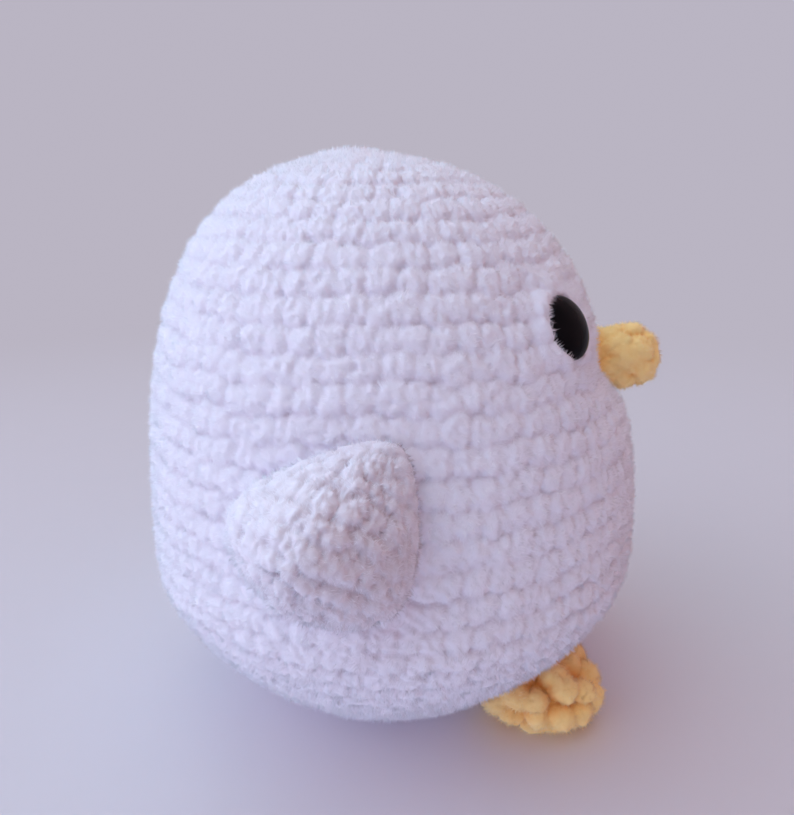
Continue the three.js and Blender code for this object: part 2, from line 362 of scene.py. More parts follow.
def evenly(widths, heights):
    """The same outline with its points evenly spaced along it, and its length."""
    steps = np.hypot(np.diff(widths), np.diff(heights))
    along = np.concatenate([[0], np.cumsum(steps)])
    even = np.linspace(0, along[-1], PROFILE_POINTS)
    return np.interp(even, along, widths), np.interp(even, along, heights), along[-1]


def softened(values, mirror, reach):
    """Values along an outline, smoothed; past its ends they go on mirrored."""
    padded = np.concatenate([mirror * values[reach:0:-1], values, mirror * values[-2 : -reach - 2 : -1]])
    kernel = np.hanning(2 * reach + 1)
    return np.convolve(padded, kernel / kernel.sum(), "valid")


def body_outline():
    """Half widths and heights from the crown to the middle of the base, and the way's length."""
    quarter = np.linspace(0, np.pi / 2, PROFILE_POINTS)
    upper = BELLY_HEIGHT + (BODY_HEIGHT - BELLY_HEIGHT) * np.cos(quarter)
    lower = BELLY_HEIGHT * (1 - np.sin(quarter))[1:]
    base = BASE_RADIUS * np.linspace(1, 0, PROFILE_POINTS)[1:]
    widths = np.concatenate([half_width(upper), half_width(lower), base])
    heights = np.concatenate([upper, lower, np.zeros_like(base)])
    widths, heights, length = evenly(widths, heights)
    reach = int(BASE_EDGE / length * PROFILE_POINTS)
    return softened(widths, -1, reach), softened(heights, 1, reach), length


BODY_WIDTHS, BODY_HEIGHTS, BODY_WAY = body_outline()


def body_shape(share, turn):
    """Points of the body at shares of the way from crown to base, and at turns from facing to the right."""
    at = np.linspace(0, 1, PROFILE_POINTS)
    width = np.interp(share, at, BODY_WIDTHS)
    height = np.interp(share, at, BODY_HEIGHTS)
    points = np.stack([-width * np.sin(turn), middle(height) - width * np.cos(turn), height], -1)
    crown = np.array((0, CROWN_LEAN + NUB_BACK, BODY_HEIGHT))
    near = np.exp(-np.sum((points - crown) ** 2, -1) / NUB_REACH**2)
    points[..., 2] += CROWN_NUB * near
    front = np.clip(np.cos(turn), 0, 1)
    face = np.exp(-(((height - FACE_HEIGHT) / FACE_REACH) ** 2)) * front**FACE_NARROWNESS
    dimple = np.exp(-(((height - DIMPLE_HEIGHT) / DIMPLE_REACH) ** 2)) * front**DIMPLE_NARROWNESS
    points[..., 1] += FACE_FLAT * face + BEAK_DIMPLE * dimple
    return points


def clear_of_body(points, gap):
    """Moves points that lie in the body out to a gap from it."""
    flat = points[..., :2].copy()
    flat[..., 1] -= middle(points[..., 2])
    away = np.linalg.norm(flat, axis=-1)
    limit = half_width(points[..., 2]) + gap
    outside = (away >= limit) | (points[..., 2] > BODY_HEIGHT)
    grow = np.where(outside, 1, limit / np.maximum(away, 1e-9))
    moved = points.copy()
    moved[..., :2] += flat * (grow - 1)[..., None]
    return moved


def smooth_step(values):
    """A soft rise from 0 to 1."""
    values = np.clip(values, 0, 1)
    return values * values * (3 - 2 * values)


def unit(vectors):
    return vectors / np.maximum(np.linalg.norm(vectors, axis=-1, keepdims=True), 1e-12)


def whole_turn(count):
    """Evenly spaced turns, once round."""
    return TURN * np.arange(count) / count


def value_noise(points, cell, seed):
    """Smooth noise from -1 to 1, with lumps of about the size of a cell."""
    table = np.random.default_rng(seed).uniform(-1, 1, (NOISE_TABLE,) * 3)
    scaled = points / cell
    base = np.floor(scaled).astype(int)
    part = smooth_step(scaled - base)
    total = np.zeros(points.shape[:-1])
    for corner in itertools.product((0, 1), repeat=3):
        i, j, k = np.moveaxis((base + corner) % NOISE_TABLE, -1, 0)
        total += np.prod(np.where(corner, part, 1 - part), axis=-1) * table[i, j, k]
    return total


def stitch_heights(rounds, turn, counts, style, seed):
    """Height of the stitches at each point, from 0 in the pits to about 1: soft blocks, faintly split."""
    made = np.random.default_rng(seed).uniform(-1, 1, (len(counts), counts.max(), 4)) * style.jitter
    total = np.zeros(rounds.shape)
    here = np.floor(rounds).astype(int)
    for row_step in (-1, 0, 1):
        row = np.clip(here + row_step, 0, len(counts) - 1)
        real = row == here + row_step
        fall = rounds - (here + row_step) - 0.5
        place = counts[row] * turn / TURN + style.drift * row + style.slant * fall
        first = np.floor(place).astype(int)
        for side in (-1, 0, 1):
            stitch = first + side
            own = made[row, stitch % counts[row]]
            x = place - stitch - 0.5 - STITCH_SHIFT * own[..., 0]
            y = fall - STITCH_LIFT * own[..., 1]
            off = np.abs(x) / (STITCH_SIDE + STITCH_SPREAD * own[..., 2] - STITCH_TAPER * y)
            end = np.abs(y) / STITCH_END
            block = np.sqrt(np.clip(1 - off**SIDE_POWER - end**END_POWER, 0, None))
            block *= 1 - style.split * np.exp(-((x / SPLIT_WIDTH) ** 2)) * (SPLIT_TOP - y)
            total += (real * (1 + STITCH_UNEVEN * own[..., 3]) * block) ** STITCH_BLEND
    return total ** (1 / STITCH_BLEND)


def crumpled(points, size, amount, seed):
    """Points shifted to and fro by a share of a size, so that round lumps become uneven."""
    shifts = [
        value_noise(points, size / 2, seed + k) + value_noise(points, size / 4, seed - k) / 2
        for k in (7, 8, 9)
    ]
    return points + amount * size * np.stack(shifts, -1)


def tuft_heights(points, cell, seed):
    """Height of small packed tufts of pile, from 0 between them to 1 on top."""
    table = np.random.default_rng(seed).uniform(0.1, 0.9, (NOISE_TABLE,) * 3 + (3,))
    scaled = points / cell
    base = np.floor(scaled).astype(int)
    nearest = np.full(points.shape[:-1], np.inf)
    for step in itertools.product((-1, 0, 1), repeat=3):
        i, j, k = np.moveaxis((base + step) % NOISE_TABLE, -1, 0)
        nearest = np.minimum(nearest, np.sum((base + step + table[i, j, k] - scaled) ** 2, -1))
    return np.sqrt(np.clip(1 - nearest / TUFT_REACH, 0, 1))


def bobble_heights(points, apart, seed):
    """Height of round bobbles scattered over a surface, from 0 between them to about 1 on top."""
    rng = np.random.default_rng(seed)
    flat = points.reshape(-1, 3)
    nearest = np.full(len(flat), np.inf)
    total = np.zeros(len(flat))
    while nearest.max() > BOBBLE_SPACING * apart:
        bare = np.flatnonzero(nearest > BOBBLE_SPACING * apart)
        away = np.linalg.norm(flat - flat[rng.choice(bare)], axis=1)
        nearest = np.minimum(nearest, away)
        reach = apart * rng.uniform(*BOBBLE_REACH)
        dome = np.sqrt(np.clip(1 - (away / reach) ** 2, 0, None))
        total += (rng.uniform(*BOBBLE_SIZE) * dome) ** BOBBLE_BLEND
    return (total ** (1 / BOBBLE_BLEND)).reshape(points.shape[:-1])


def grid_normals(points):
    """Outward normals of a closed grid that runs from pole to pole."""
    down = np.gradient(points, axis=0)
    across = np.roll(points, -1, 1) - np.roll(points, 1, 1)
    normals = np.cross(down, across)
    normals[0] = normals[1].mean(0)
    normals[-1] = normals[-2].mean(0)
    normals = unit(normals)
    outward = np.sum(normals * (points - points.mean((0, 1)))) > 0
    return normals if outward else -normals


def crochet(shape, way, style, seed, bobbles=None, lumpy=None):
    """Points and stitch heights of a crocheted surface that runs from pole to pole along a way."""
    rounds = max(2, round(way / style.round_height))
    rows = rounds * style.steps
    share, turn = np.meshgrid(np.linspace(0, 1, rows + 1), whole_turn(style.columns), indexing="ij")
    points = shape(share, turn)
    normals = grid_normals(points)
    girths = np.linalg.norm(np.roll(points, -1, 1) - points, axis=-1).sum(1)
    if bobbles:
        heights = bobble_heights(crumpled(points, bobbles, style.crumple / 2, seed + 10), bobbles, seed)
    else:
        middles = girths[style.steps // 2 :: style.steps][:rounds]
        counts = style.count_by * np.round(middles / style.stitch_width / style.count_by)
        wobble = np.sin(3 * turn + 14 * share + seed) + np.sin(5 * turn - 9 * share + 2 * seed)
        up, along = (style.warp * value_noise(points, WARP_SIZE, seed + k) for k in (5, 6))
        level = np.clip(share * rounds + style.wobble * wobble + up, 0, rounds - 1e-6)
        counts = np.maximum(counts, style.least).astype(int)
        heights = stitch_heights(level, turn + along * TURN / counts[level.astype(int)], counts, style, seed)
    tufts = tuft_heights(crumpled(points, style.tuft, style.crumple, seed + 20), style.tuft, seed + 1)
    grain = style.grain * value_noise(points, GRAIN_SIZE, seed + 2)
    fluff = style.tuft_height * (tufts - TUFT_MIDDLE) + grain
    slim = np.clip(girths / (TURN * style.slim), LEAST_SLIM, 1)[:, None]
    relief = style.relief * (1 if bobbles else slim)
    lump = lumpy(turn) if lumpy else 1
    out = style.top + lump * (slim * fluff - relief * (1 - heights))
    # The returned heights drive the yarn's painted crease shade; tuft hollows are darkened with the stitch
    # creases
    tuft_share = style.tuft_height / (style.tuft_height + style.relief)
    return points + normals * out[..., None], np.clip(heights + tuft_share * (tufts - heights), 0, 1)


def new_mesh(name, points, corners, sizes):
    """A smooth mesh from points, its faces' corners one after another, and how many each face has."""
    mesh = bpy.data.meshes.new(name)
    mesh.vertices.add(len(points))
    mesh.vertices.foreach_set("co", points.astype(np.float32).ravel())
    mesh.loops.add(len(corners))
    mesh.loops.foreach_set("vertex_index", corners.astype(np.int32))
    mesh.polygons.add(len(sizes))
    mesh.polygons.foreach_set("loop_start", (np.cumsum(sizes) - sizes).astype(np.int32))
    mesh.polygons.foreach_set("use_smooth", np.ones(len(sizes), bool))
    mesh.update(calc_edges=True)
    return mesh


def new_object(mesh, material, slot, body):
    mesh.materials.append(material)
    made = bpy.data.objects.new(mesh.name, mesh)
    bpy.context.scene.collection.objects.link(made)
    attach(made, body)
    return made


def add_values(mesh, name, values):
    mesh.attributes.new(name, "FLOAT", "POINT").data.foreach_set("value", values.astype(np.float32))


def add_map(mesh, places):
    mesh.uv_layers.new(name="OFBake").data.foreach_set("uv", places.astype(np.float32).ravel())


def signed_volume(points):
    """Six times the volume within a closed grid, below 0 if its faces would turn inwards."""
    a, b, c, d = points[:-1], points[1:], np.roll(points[1:], -1, 1), np.roll(points[:-1], -1, 1)
    return np.sum(a * np.cross(b, c)) + np.sum(a * np.cross(c, d))


def turned_out(points, heights):
    """A closed grid and its stitch heights, in the order that turns its faces outwards."""
    return (points, heights) if signed_volume(points) > 0 else (points[:, ::-1], heights[:, ::-1])


def closed_grid(name, points, heights):
    """A closed mesh of a grid that runs from pole to pole, with its stitch heights and a map for baking."""
    points, heights = turned_out(points, heights)
    rows, columns = points.shape[0] - 1, points.shape[1]
    ring = np.arange((rows - 1) * columns).reshape(rows - 1, columns)
    after = np.roll(ring, -1, 1)
    top, bottom = np.full(columns, ring.size), np.full(columns, ring.size + 1)
    quads = np.stack([ring[:-1], ring[1:], after[1:], after[:-1]], -1).reshape(-1, 4)
    caps = np.concatenate(
        [np.stack([top, ring[0], after[0]], -1), np.stack([bottom, after[-1], ring[-1]], -1)]
    )
    corners = np.concatenate([quads.ravel(), caps.ravel()])
    sizes = np.concatenate([np.full(len(quads), 4), np.full(len(caps), 3)])
    places = np.concatenate([points[1:-1].reshape(-1, 3), points[[0, -1]].mean(1)])
    mesh = new_mesh(name, places, corners, sizes)
    add_values(mesh, "depth", np.concatenate([heights[1:-1].ravel(), heights[[0, -1]].mean(1)]))
    across, down = np.meshgrid(np.arange(columns), np.arange(1, rows - 1))
    around = [(across, down), (across, down + 1), (across + 1, down + 1), (across + 1, down)]
    flat = np.stack([np.stack(place, -1) for place in around], 2).reshape(-1, 2)
    step, zero = np.arange(columns), np.zeros(columns)
    first = [(step + 0.5, zero), (step, zero + 1), (step + 1, zero + 1)]
    last = [(step + 0.5, zero + rows), (step + 1, zero + rows - 1), (step, zero + rows - 1)]
    ends = [np.stack([np.stack(place, -1) for place in end], 1).reshape(-1, 2) for end in (first, last)]
    add_map(mesh, np.concatenate([flat, *ends]) / (columns, rows))
    return mesh


def read_surface(mesh):
    """Triangles, points, normals and stitch heights of a mesh."""
    mesh.calc_loop_triangles()
    corners = np.empty(len(mesh.loop_triangles) * 3, np.int32)
    mesh.loop_triangles.foreach_get("vertices", corners)
    points = np.empty(len(mesh.vertices) * 3, np.float32)
    mesh.vertices.foreach_get("co", points)
    normals = np.empty(len(mesh.vertices) * 3, np.float32)
    mesh.vertex_normals.foreach_get("vector", normals)
    depth = np.empty(len(mesh.vertices), np.float32)
    mesh.attributes["depth"].data.foreach_get("value", depth)
    points, normals = (values.reshape(-1, 3).astype(float) for values in (points, normals))
    return corners.reshape(-1, 3), points, normals, depth


def scattered(mesh, per_mm2, rng):
    """Random spots on a crocheted mesh: their places, normals and stitch heights."""
    corners, points, normals, depth = read_surface(mesh)
    a, b, c = np.moveaxis(points[corners], 1, 0)
    areas = np.linalg.norm(np.cross(b - a, c - a), axis=1) / 2
    count = int(areas.sum() / MM**2 * per_mm2)
    spots = np.searchsorted(np.cumsum(areas), rng.random(count) * areas.sum())
    chosen = corners[np.minimum(spots, len(corners) - 1)]
    share = rng.random((count, 2))
    share = np.where(share.sum(1, keepdims=True) > 1, 1 - share, share)
    share = np.concatenate([1 - share.sum(1, keepdims=True), share], 1)[..., None]
    out = unit((normals[chosen] * share).sum(1))
    return (points[chosen] * share).sum(1), out, (depth[chosen] * share[..., 0]).sum(1)


def pile(name, mesh, yarn, seed, keep=None, lean=None, length=PILE_LENGTH):
    """Short straight fibres on a crocheted mesh, each a closed flat needle, in pieces of a limited size."""
    rng = np.random.default_rng(seed)
    roots, out, depth = scattered(mesh, PILE_PER_MM2 / (1), rng)
    tuft = np.stack([value_noise(roots, PILE_TUFT, seed + k) for k in (1, 2, 3)], -1)
    way = unit(out + PILE_TUFT_LEAN * tuft + PILE_STRAY * rng.normal(size=roots.shape))
    if lean:
        way = unit(way + lean(roots))
    tips = roots + way * length * rng.uniform(*PILE_LENGTHS, (len(roots), 1))
    good = (tips[:, 2] > PILE_TABLE_GAP) & (np.sum(way * out, 1) > PILE_LEAST_RISE)
    if keep:
        good &= keep(roots)
    roots, out, way, tips, depth = (values[good] for values in (roots, out, way, tips, depth))
    side = unit(np.cross(out + PILE_TWIST * rng.normal(size=way.shape), way))
    face = np.cross(way, side)
    foot = roots - way * PILE_SINK
    ring = [
        foot + PILE_WIDTH * (math.cos(t) * side + PILE_FLATNESS * math.sin(t) * face) for t in PILE_CORNERS
    ]
    needles = on_table(np.stack([*ring, tips], 1))
    # Painted glints and tip light: a share of fibres in patches get a tip value past 1, which the yarn
    # paints in its glint colour; other tips are painted mostly lighter than their roots
    glint = rng.random(len(needles)) < GLINT_SHARE
    glint &= value_noise(roots, GLINT_PATCH, seed + 4) > GLINT_PATCH_LEVEL
    tip_shade = np.maximum(depth + rng.uniform(*TIP_SHADES, len(needles)), 0) + glint
    shade = np.stack([depth] * 3 + [tip_shade], 1)
    stray = rng.normal(size=way.shape)
    stray += out * np.maximum(0, -np.sum(stray * out, 1, keepdims=True))
    stray[:, 2] = np.abs(stray[:, 2])
    sway = (FACING_STRAY + FACING_GLINT * glint)[:, None]
    facing = unit(FACING_OUT * out + (1 - FACING_OUT) * face + sway * stray)
    pieces = math.ceil(len(needles) / FIBRES_PER_PIECE)
    for n, part in enumerate(np.array_split(np.arange(len(needles)), pieces), 1):
        new_fibres(f"{name}_{n}", needles[part], shade[part], facing[part], yarn)


def new_fibres(name, needles, shade, facing, yarn):
    """A piece of pile from the needles' corners, three at the root and one at the tip."""
    first = 4 * np.arange(len(needles))[:, None, None]
    faces = (first + np.array([(0, 1, 3), (1, 2, 3), (2, 0, 3), (0, 2, 1)])).reshape(-1, 3)
    mesh = new_mesh(name, needles.reshape(-1, 3), faces.ravel(), np.full(len(faces), 3))
    add_values(mesh, "depth", shade.ravel())
    add_map(mesh, needle_map(len(needles)))
    mesh.normals_split_custom_set_from_vertices(np.repeat(facing, 4, 0))
    made = new_object(mesh, *yarn)
    made.visible_shadow = made.visible_diffuse = False
    made.shadow_terminator_geometry_offset = 0


def needle_map(count):
    """A place on the bake's map for each needle: one small square, root at its foot and tip at its top."""
    wide = math.ceil(math.sqrt(count))
    corner = np.stack([np.arange(count) % wide, np.arange(count) // wide], -1)[:, None]
    side = [(0.1, 0.1), (0.9, 0.1), (0.5, 0.9)]
    faces = np.array(side * 3 + [(0.1, 0.1), (0.5, 0.2), (0.9, 0.1)])
    return ((corner + faces) / wide).reshape(-1, 2)


def linked(material, kind, **inputs):
    """A new node with its input values set, or linked where an output is given."""
    node = material.node_tree.nodes.new(kind)
    for name, value in inputs.items():
        socket = node.inputs[name.replace("_", " ")]
        if isinstance(value, bpy.types.NodeSocket):
            material.node_tree.links.new(value, socket)
        else:
            socket.default_value = value
    return node


def mixed_colour(material, factor, first, second):
    node = material.node_tree.nodes.new("ShaderNodeMix")
    node.data_type = "RGBA"
    for socket, value in zip((node.inputs[0], node.inputs[6], node.inputs[7]), (factor, first, second)):
        if isinstance(value, bpy.types.NodeSocket):
            material.node_tree.links.new(value, socket)
        else:
            socket.default_value = value
    return node.outputs[2]


def new_material(name):
    """A material, its main shader and the place that its patterns follow."""
    made = bpy.data.materials.new(name)
    made.use_nodes = True
    place = linked(made, "ShaderNodeTexCoord").outputs["Object"]
    return made, made.node_tree.nodes["Principled BSDF"], place


def noise(material, place, size, detail):
    """Cloudy noise with lumps of about a size."""
    return linked(material, "ShaderNodeTexNoise", Vector=place, Scale=1 / size, Detail=detail).outputs["Fac"]


def yarn_material(name, light, painted_shade, stain, painted_glint):
    """Plush yarn: painted shade in the creases, mottled in soft random patches, and a painted glint on a few
    fibres.
    """
    made, shader, place = new_material(name)
    attribute = linked(made, "ShaderNodeAttribute")
    attribute.attribute_name = "depth"
    height = attribute.outputs["Fac"]
    # Painted shade: low stitch heights, in the creases and pits, take the darker painted_shade colour
    crease = linked(made, "ShaderNodeMapRange", Value=height, From_Min=0.2, From_Max=0.9)
    # Painted glint: fibre tips whose value passes 1.1 take the painted_glint colour
    glint = linked(made, "ShaderNodeMapRange", Value=height, From_Min=1.1, From_Max=1.6)
    patch = noise(made, place, YARN_PATCH, 3.0)
    clump = noise(made, place, YARN_CLUMP, 2.0)
    wide = linked(made, "ShaderNodeMapRange", Value=patch, From_Min=0.35, From_Max=0.7, To_Max=0.5)
    fine = linked(made, "ShaderNodeMapRange", Value=clump, From_Min=0.4, From_Max=0.75, To_Max=0.35)
    colour = mixed_colour(made, crease.outputs["Result"], (*painted_shade, 1), (*light, 1))
    colour = mixed_colour(made, wide.outputs["Result"], colour, (*stain, 1))
    colour = mixed_colour(made, fine.outputs["Result"], colour, (*light, 1))
    colour = mixed_colour(made, glint.outputs["Result"], colour, (*painted_glint, 1))
    made.node_tree.links.new(colour, shader.inputs["Base Color"])
    shader.inputs["Roughness"].default_value = 1.0
    shader.inputs["Specular IOR Level"].default_value = 0.0
    shader.inputs["Sheen Weight"].default_value = 0.2
    shader.inputs["Sheen Roughness"].default_value = 0.5
    return made


def eye_material():
    """Polished black plastic with faint handling smears."""
    made, shader, place = new_material("eye_black")
    smear = noise(made, place, EYE_SMEAR, 4.0)
    colour = mixed_colour(made, smear, (0.003, 0.0025, 0.003, 1), (0.008, 0.006, 0.007, 1))
    rough = linked(made, "ShaderNodeMapRange", Value=smear, To_Min=0.14, To_Max=0.24)
    made.node_tree.links.new(colour, shader.inputs["Base Color"])
    made.node_tree.links.new(rough.outputs["Result"], shader.inputs["Roughness"])
    shader.inputs["Specular IOR Level"].default_value = 0.02
    return made


def plastic_material():
    """Natural moulded plastic of the lock washers."""
    made, shader, place = new_material("washer_plastic")
    flow = noise(made, place, WASHER_FLOW, 3.0)
    colour = mixed_colour(made, flow, (0.68, 0.67, 0.64, 1), (0.76, 0.75, 0.72, 1))
    made.node_tree.links.new(colour, shader.inputs["Base Color"])
    shader.inputs["Roughness"].default_value = 0.5
    return made


WHITE = yarn_material(
    "white_yarn",
    light=(0.83, 0.80, 0.90), painted_shade=(0.70, 0.63, 0.73), stain=(0.80, 0.76, 0.87), painted_glint=(0.94, 0.93, 0.97),
)
YELLOW = yarn_material(
    "yellow_yarn",
    light=(0.99, 0.70, 0.30), painted_shade=(0.93, 0.42, 0.09), stain=(0.98, 0.64, 0.24), painted_glint=(1.0, 0.83, 0.50),
)
# The wing's yarn: the body's white with a darker painted shade in its creases, so the wing is coloured as if
# more in shade
WING_SHADED_WHITE = yarn_material(
    "wing_yarn_shaded",
    light=(0.83, 0.80, 0.90), painted_shade=(0.56, 0.48, 0.55), stain=(0.79, 0.74, 0.84), painted_glint=(0.90, 0.88, 0.94),
)
FILLING = yarn_material(
    "filling",
    light=(0.86, 0.86, 0.84), painted_shade=(0.70, 0.70, 0.68), stain=(0.82, 0.82, 0.80), painted_glint=(0.90, 0.90, 0.88),
)
EYE = eye_material()
WASHER = plastic_material()


def eye_frames():
    seat = seat_on_cover(EYE_ANGLE, EYE_HEIGHT) @ Matrix.Translation((0, 0, -EYE_SINK))
    flip = Matrix.Diagonal((-1, 1, 1, 1))
    return {"right": seat, "left": flip @ seat @ flip}


EYES = eye_frames()


def from_eye(points, seat):
    """How far points are from an eye's axis and out along it, and how much of the way is backwards."""
    axis, centre = np.array(seat.col[2][:3]), np.array(seat.translation)
    out = (points - centre) @ axis
    flat = points - centre - out[..., None] * axis
    away = np.linalg.norm(flat, axis=-1)
    near = (away < EYE_REACH) & (np.abs(out) < EYE_REACH)
    return np.where(near, away, 1), out, flat[..., 1] / np.maximum(away, 1e-9)


def press_for_eyes(points):
    """Draws the cover in under each eye, with a soft lip round it that is highest behind it."""
    for seat in EYES.values():
        away, out, behind = from_eye(points, seat)
        lip = EYE_LIP + EYE_LIP_BEHIND * np.clip(behind, 0, 1)
        raised = out + lip * np.exp(-(((away - LIP_RADIUS) / LIP_WIDTH) ** 2))
        limit = EYE_BED_RISE * smooth_step((away - EYE_BED_RADIUS) / EYE_BED_EDGE) - EYE_BED
        moved = np.where(away < EYE_REACH, np.minimum(raised, limit) - out, 0)
        points = points + moved[..., None] * np.array(seat.col[2][:3])
    return points


def clear_of_eyes(roots):
    """False for roots under an eye."""
    return np.all([from_eye(roots, seat)[0] > BARE_RADIUS for seat in EYES.values()], axis=0)


def towards_eyes(roots):
    """Bends the pile round each eye over the eye's edge."""
    bend = np.zeros_like(roots)
    for seat in EYES.values():
        away, out, _ = from_eye(roots, seat)
        axis, centre = np.array(seat.col[2][:3]), np.array(seat.translation)
        inward = centre + out[:, None] * axis - roots
        near = np.clip(1 - (away - BARE_RADIUS) / FRINGE_WIDTH, 0, 1)
        bend += FRINGE_BEND * near[:, None] * unit(inward)
    return bend


def on_table(points):
    """Lifts points that lie below the table."""
    points[..., 2] = np.maximum(points[..., 2], TABLE_CLEARANCE)
    return points


def soft_piece(name, node, points, heights, yarn, fill, seed, **pile_ways):
    """A stuffed crochet piece in place of a node, with its pile; yarn holds its material, a slot name that
    is not used, and its body.
    """
    mesh = closed_grid(f"{name}_crochet", points, heights)
    made = new_object(mesh, *yarn)
    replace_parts(made, node)
    pile(f"{name}_pile", mesh, yarn, seed, **pile_ways)


def make_body():
    points, heights = crochet(body_shape, BODY_WAY, BODY_CROCHET, BODY_SEED)
    points = on_table(press_for_eyes(points))
    yarn, ways = (WHITE, "white_yarn", "body"), {"keep": clear_of_eyes, "lean": towards_eyes}
    soft_piece("body", "body_cover", points, heights, yarn, BODY_FILL, BODY_PILE_SEED, **ways)


def mapped(points, matrix):
    whole = np.array(matrix)
    return points @ whole[:3, :3].T + whole[:3, 3]


def wing_outline():
    """Evenly spaced half widths and places along a wing, and the way's length."""
    along = (1 - np.cos(np.linspace(0, np.pi, PROFILE_POINTS))) / 2
    swell = np.clip(np.sin(np.pi * along**WING_LOW_BULGE), 0, None) ** WING_BLUNTNESS
    return evenly(WING_WIDTH / 2 * swell, WING_LENGTH * along)


def wing_section():
    """Evenly spaced points round a wing's section, which has a soft ridge on its outer and inner side."""
    turn = np.linspace(0, TURN, PROFILE_POINTS)
    thick, wide = (np.abs(wave) ** WING_RIDGE * np.sign(wave) for wave in (np.cos(turn), np.sin(turn)))
    return evenly(thick, wide)[:2]


def wing_frame():
    joint = next(j for j in frame["joints"] if j["name"] == "wing_right_flap")
    flare = Matrix.Rotation(math.radians(WING_FLARE), 4, "Y")
    return Matrix.Translation(joint["pos_m"]) @ flare @ Matrix.Rotation(math.radians(WING_SWEEP), 4, "X")


def make_wing(side, flip, seed):
    """A puffed wing with a ridge down its outer side."""
    widths, places, way = wing_outline()
    thick, wide = wing_section()
    at, around = np.linspace(0, 1, PROFILE_POINTS), np.linspace(0, TURN, PROFILE_POINTS)

    def shape(share, turn):
        width = np.interp(share, at, widths)
        thin = np.interp(share, (0, WING_THIN_REACH), (WING_TOP_THIN, 1))
        flat = thin * WING_PUFF * WING_THICKNESS / WING_WIDTH * width * np.interp(turn, around, thick)
        edge = WING_EDGE * (1 - share) * np.sqrt(np.clip(share / WING_CORNER, 0, 1))
        across = np.hypot(width, edge) * np.interp(turn, around, wide)
        across = np.where(across < 0, WING_FRONT * across, across) - WING_RIDGE_BACK * flat
        level = WING_LEVEL * across * (1 - share) ** WING_LEVEL_FADE
        return np.stack([flat, across, -WING_DROP - level - np.interp(share, at, places)], -1)

    def across_values(turn, values):
        return np.interp(np.interp(turn, around, wide), WING_LUMPS_ACROSS, values)

    def lumpy(turn):
        return across_values(turn, WING_LUMPS)

    points, heights = crochet(shape, way, WING_CROCHET, seed, lumpy=lumpy)
    points = clear_of_body(mapped(points, wing_frame()), WING_CLEARANCE) * (flip, 1, 1)
    # Painted shade: the wing's colouring heights are lowered, most on its front face, so that face is
    # coloured darker
    heights = across_values(whole_turn(WING_CROCHET.columns), WING_SHADE_DEPTHS) * heights
    name, yarn = f"wing_{side}", (WING_SHADED_WHITE, "white_yarn", f"{side}_wing")
    soft_piece(name, name, points, heights, yarn, WING_FILL, seed + PILE_SEED, length=WING_PILE)


def make_beak():
    """A blunt knob, set deep enough to meet the pressed-in face."""
    along = np.sin(np.linspace(np.pi / 2, 0, PROFILE_POINTS))
    back = np.linspace(1, 0, PROFILE_POINTS)
    neck = 1 - BEAK_NECK * (1 - along) ** 2
    front_widths = BEAK_RADIUS * (1 - along**BEAK_SWELL) ** (1 / BEAK_ROUND) * neck
    widths, places, way = evenly(
        np.concatenate([front_widths, front_widths[-1] * back]),
        np.concatenate([BEAK_LENGTH * along, -BEAK_ROOT * np.ones_like(back)]),
    )
    tilt = cover_normal(0, BEAK_HEIGHT).angle(Vector((0, -1, 0))) - math.radians(BEAK_LIFT)
    place = seat_on_cover(0, BEAK_HEIGHT) @ Matrix.Rotation(tilt, 4, "X")
    at = np.linspace(0, 1, PROFILE_POINTS)

    def shape(share, turn):
        width = np.interp(share, at, widths)
        return np.stack([width * np.cos(turn), width * np.sin(turn), np.interp(share, at, places)], -1)

    points, heights = crochet(shape, way, BEAK_CROCHET, BEAK_SEED, BEAK_BOBBLES)
    points = clear_of_body(mapped(points, place), -SEWN_DEPTH - FACE_FLAT - BEAK_DIMPLE)
    yarn = (YELLOW, "yellow_yarn", "body")
    soft_piece("beak", "beak", points, heights, yarn, FIRM_FILL, BEAK_PILE_SEED, length=YELLOW_PILE)


def make_foot(side, flip, seed):
    """A flattened ball of bobbles, flat where it meets the table."""
    size = np.array((FOOT_WIDTH, FOOT_LENGTH, FOOT_HEIGHT)) / 2
    place = Matrix.Translation((-FOOT_SPREAD, -FOOT_FORWARD, FOOT_HEIGHT / 2 - FOOT_FLAT))
    place = place @ Matrix.Rotation(math.radians(-FOOT_TOE_OUT), 4, "Z")
    axis = np.array(Matrix.Rotation(math.radians(FOOT_AXIS_TILT), 3, "X"))

    def shape(share, turn):
        polar = np.pi * share
        ball = np.stack([np.sin(polar) * np.cos(turn), np.sin(polar) * np.sin(turn), np.cos(polar)], -1)
        return (ball @ axis.T) * size

    points, heights = crochet(shape, np.pi * size.mean(), FOOT_CROCHET, seed, FOOT_BOBBLES)
    points = on_table(clear_of_body(mapped(points, place), -SEWN_DEPTH)) * (flip, 1, 1)
    name, yarn = f"foot_{side}", (YELLOW, "yellow_yarn", "body")
    soft_piece(name, name, points, heights, yarn, FIRM_FILL, seed + PILE_SEED, length=YELLOW_PILE)


